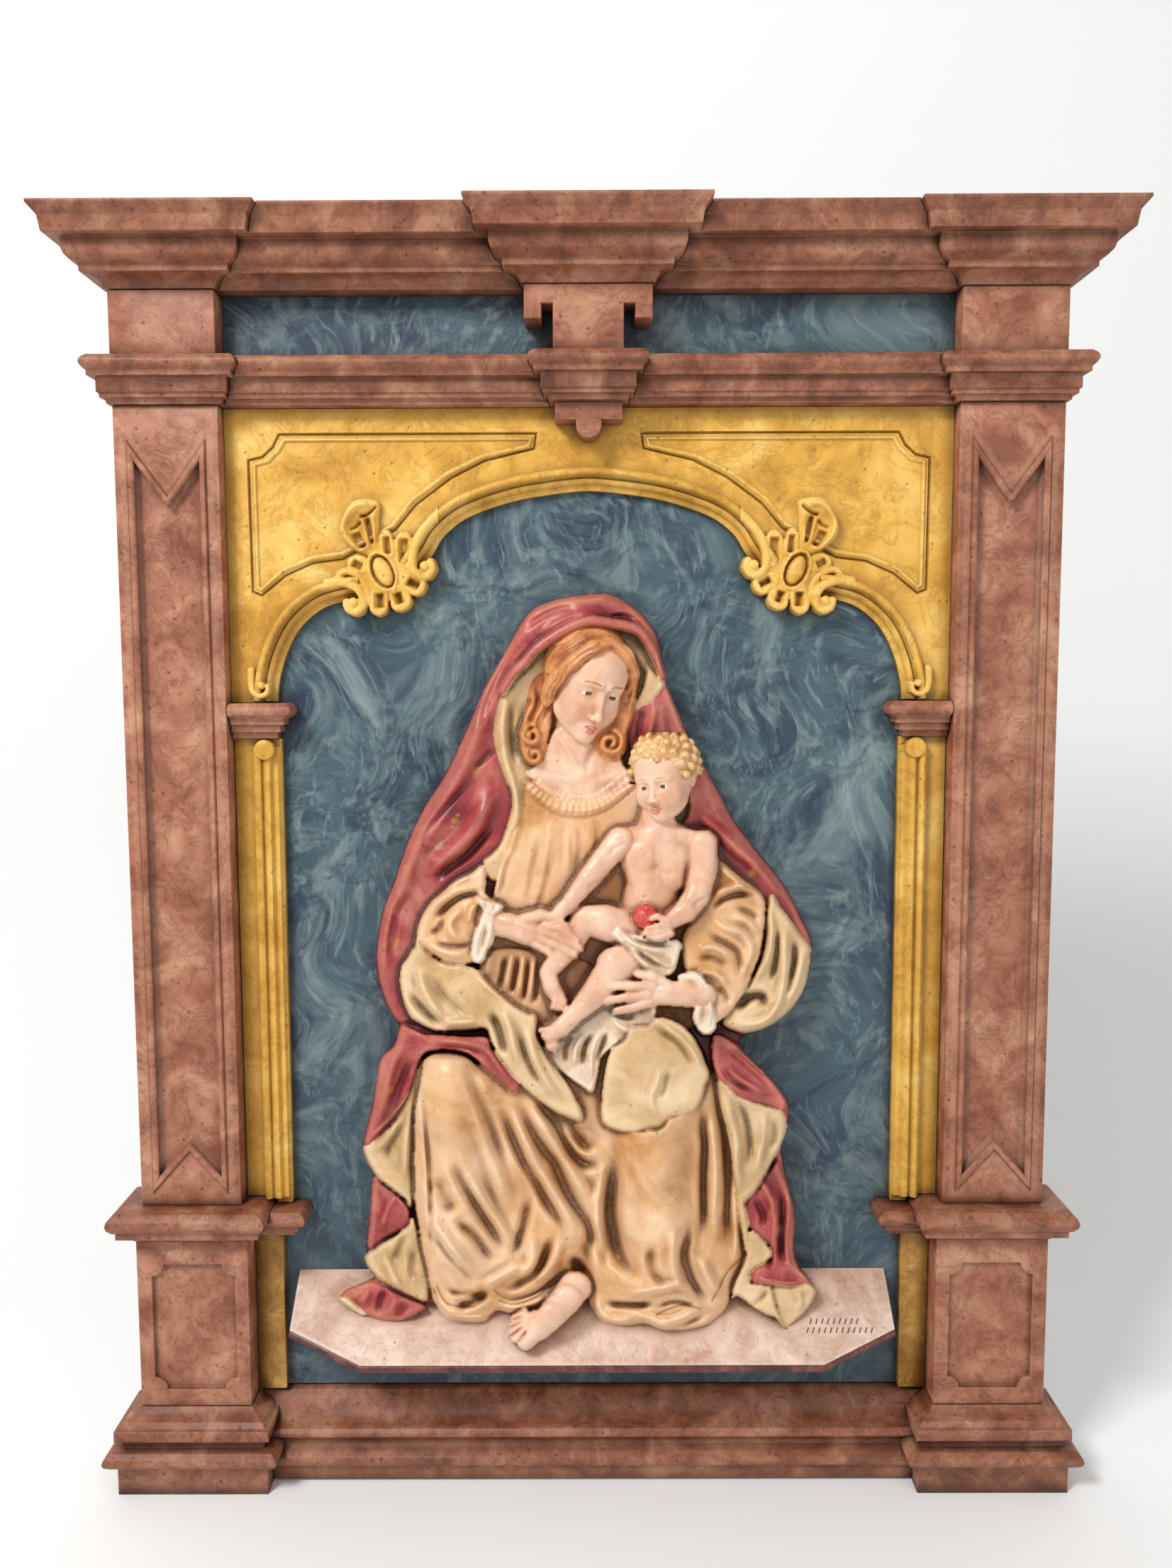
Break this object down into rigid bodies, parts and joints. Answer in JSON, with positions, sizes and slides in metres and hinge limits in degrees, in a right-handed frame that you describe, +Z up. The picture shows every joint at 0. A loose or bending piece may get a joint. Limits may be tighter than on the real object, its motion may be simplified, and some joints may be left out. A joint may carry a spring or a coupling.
{
  "type": "wooden altarpiece",
  "caption": "Carved and painted wooden altarpiece: an architectural frame with pilasters, cornice and arched panel round a high relief of the seated Madonna with the Child.",
  "frame": {"origin": "centre of the bounding box at floor level, under the middle of the frame", "axes": "+X to the viewer's right, +Y into the wall behind, +Z up"},
  "size_m": [0.972, 0.107, 1.2],
  "materials": {
    "terracotta": "terracotta paint over gesso, marbled and antiqued with a brown glaze, satin",
    "ochre": "yellow ochre paint, antiqued with a brown glaze, satin",
    "slate_blue": "slate blue paint brushed with pale grey-blue strokes, matt to satin",
    "ground_pink": "pale pinkish paint on top, dark red edge",
    "figure_cream": "polychrome: golden cream dress, red mantle with olive cream lining, painted skin and hair, with a brown glaze in the hollows, satin"
  },
  "bodies": {
    "root": {"arch_moulding_lower_left": "ochre", "arch_moulding_lower_right": "ochre", "arch_moulding_upper": "ochre", "arch_panel": "ochre", "architrave_centre": "terracotta", "architrave_corner_left": "terracotta", "architrave_corner_right": "terracotta", "architrave_run_left": "terracotta", "architrave_run_right": "terracotta", "blue_board": "slate_blue", "bottom_rail": "terracotta", "centre_console": "terracotta", "cornice_centre": "terracotta", "cornice_corner_left": "terracotta", "cornice_corner_right": "terracotta", "cornice_run_left": "terracotta", "cornice_run_right": "terracotta", "frieze_block_left": "terracotta", "frieze_block_right": "terracotta", "frieze_board": "slate_blue", "ground_shelf": "ground_pink", "impost_left": "terracotta", "impost_right": "terracotta", "inner_cap_left": "terracotta", "inner_cap_right": "terracotta", "lower_strip_left": "ochre", "lower_strip_right": "ochre", "madonna_and_child": "figure_cream", "pedestal_base_left": "terracotta", "pedestal_base_right": "terracotta", "pedestal_cap_left": "terracotta", "pedestal_cap_right": "terracotta", "pedestal_die_left": "terracotta", "pedestal_die_right": "terracotta", "pendant": "terracotta", "pilaster_left": "terracotta", "pilaster_right": "terracotta", "scroll_ornament_left": "ochre", "scroll_ornament_right": "ochre", "side_bead_left": "ochre", "side_bead_right": "ochre", "side_strip_left": "ochre", "side_strip_right": "ochre"}
  },
  "joints": []
}
